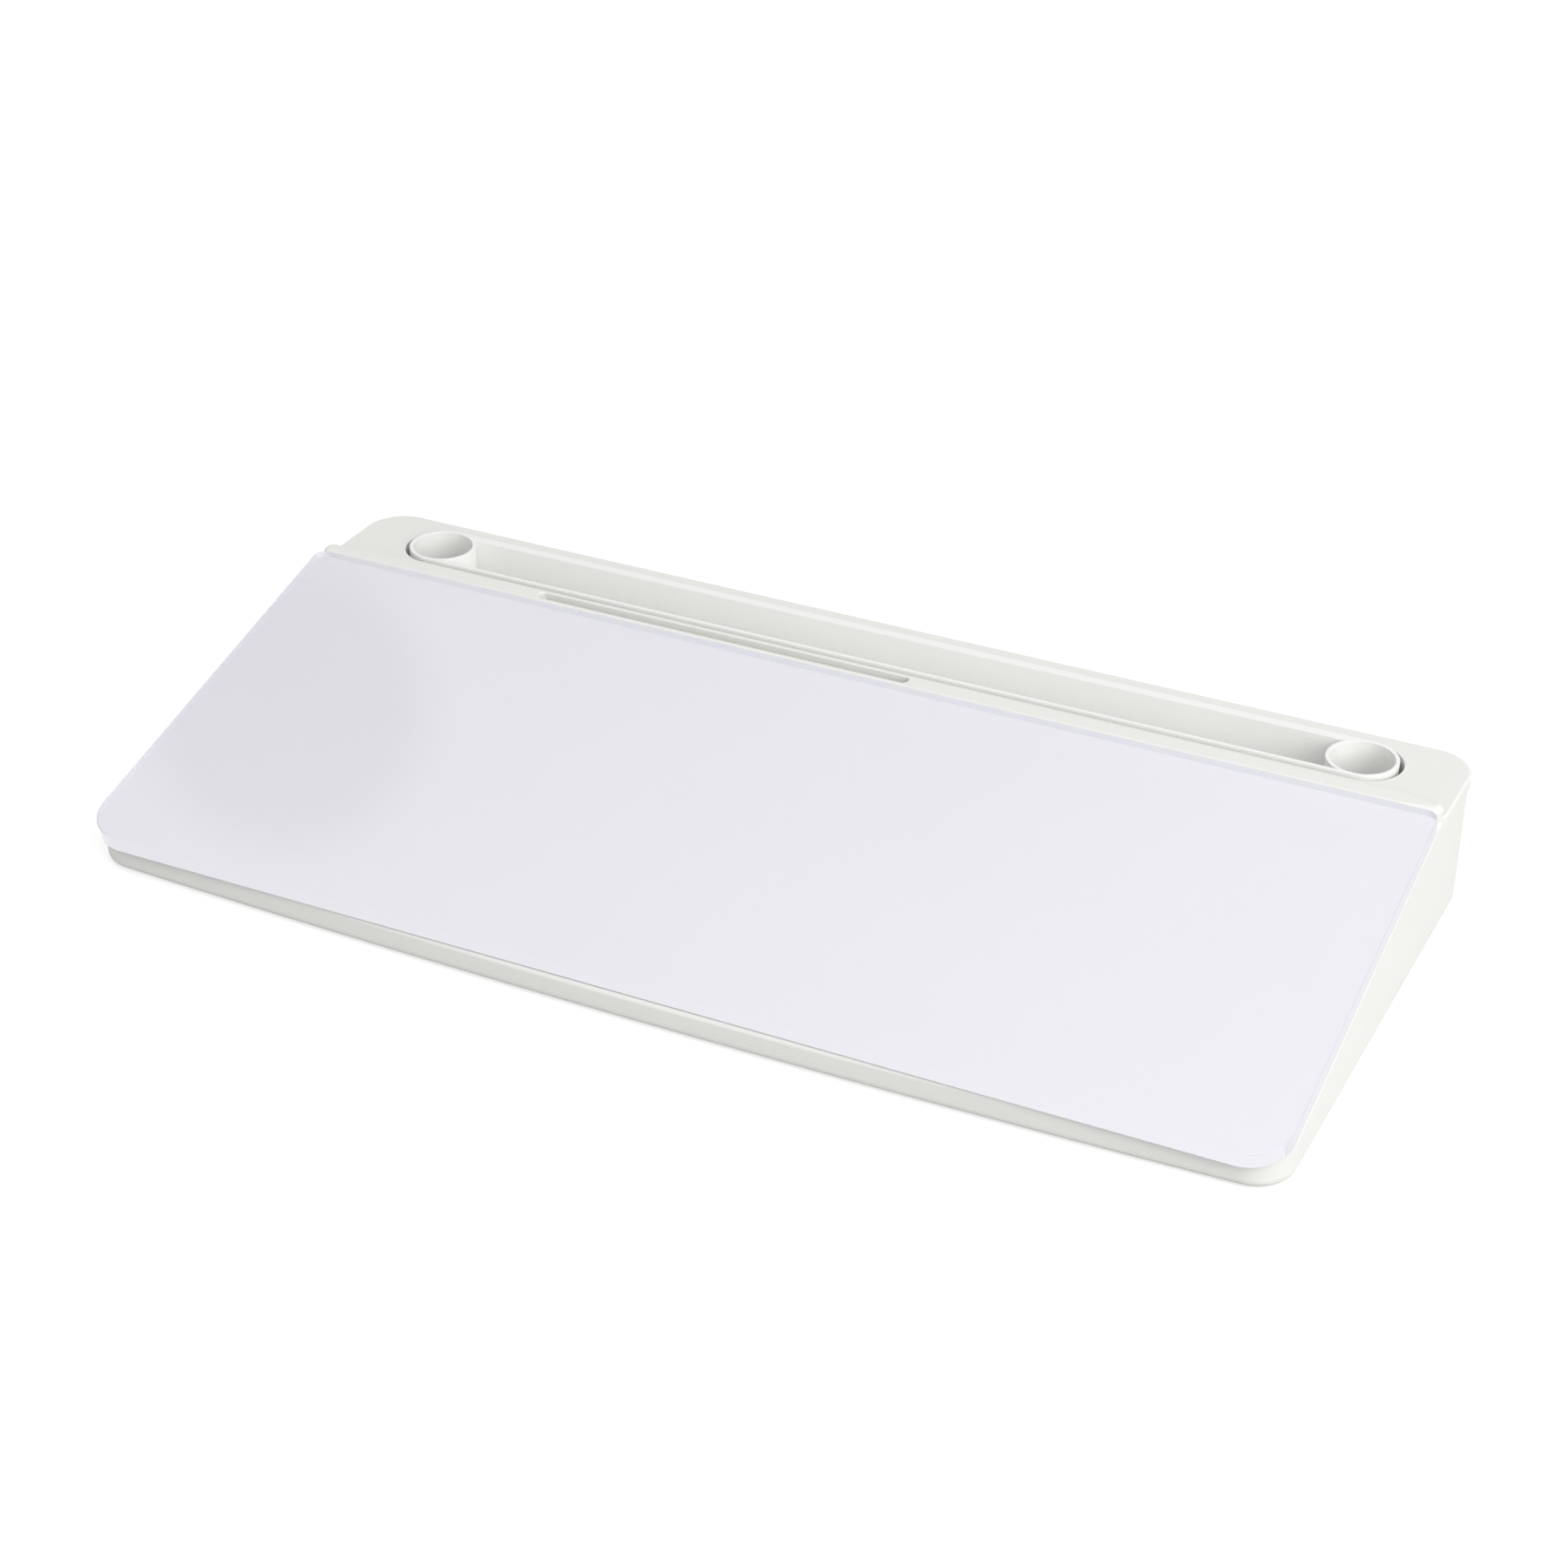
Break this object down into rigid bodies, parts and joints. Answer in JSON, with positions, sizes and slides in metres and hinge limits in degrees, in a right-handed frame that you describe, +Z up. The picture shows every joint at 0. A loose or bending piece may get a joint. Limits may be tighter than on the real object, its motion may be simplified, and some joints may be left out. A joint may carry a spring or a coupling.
{
  "type": "desktop glass whiteboard",
  "caption": "Wedge-shaped desktop dry-erase board with a sloped white-backed glass panel, a card slot behind it and a lift-out pen tray with a trough and marker cups.",
  "frame": {"origin": "middle of the footprint, on the surface it stands on", "axes": "+X across the board to the writer's right, +Y away from the writer, +Z up"},
  "size_m": [0.4396, 0.2094, 0.0563],
  "materials": {
    "glass": "polished clear toughened glass",
    "coating": "white lacquer seen through the glass",
    "shell": "satin warm white moulded plastic",
    "base": "satin warm white moulded plastic",
    "tray": "satin warm white moulded plastic",
    "tape": "white foam tape",
    "feet": "matt grey rubber",
    "screws": "zinc plated"
  },
  "bodies": {
    "board": {"glass_panel": "glass", "back_coating": "coating", "tape_front": "tape", "tape_rear": "tape", "tape_left": "tape", "tape_right": "tape", "tape_middle": "tape", "upper_shell": "shell", "base_cover": "base", "foot_front_left": "feet", "foot_front_middle": "feet", "foot_front_right": "feet", "foot_rear_left": "feet", "foot_rear_middle": "feet", "foot_rear_right": "feet", "base_screws": "screws"},
    "tray": {"pen_tray": "tray"}
  },
  "joints": [
    {"name": "tray_lift", "type": "slide", "parent": "board", "child": "tray", "axis": [0, 0, 1], "range_m": [0, 0.06]}
  ]
}
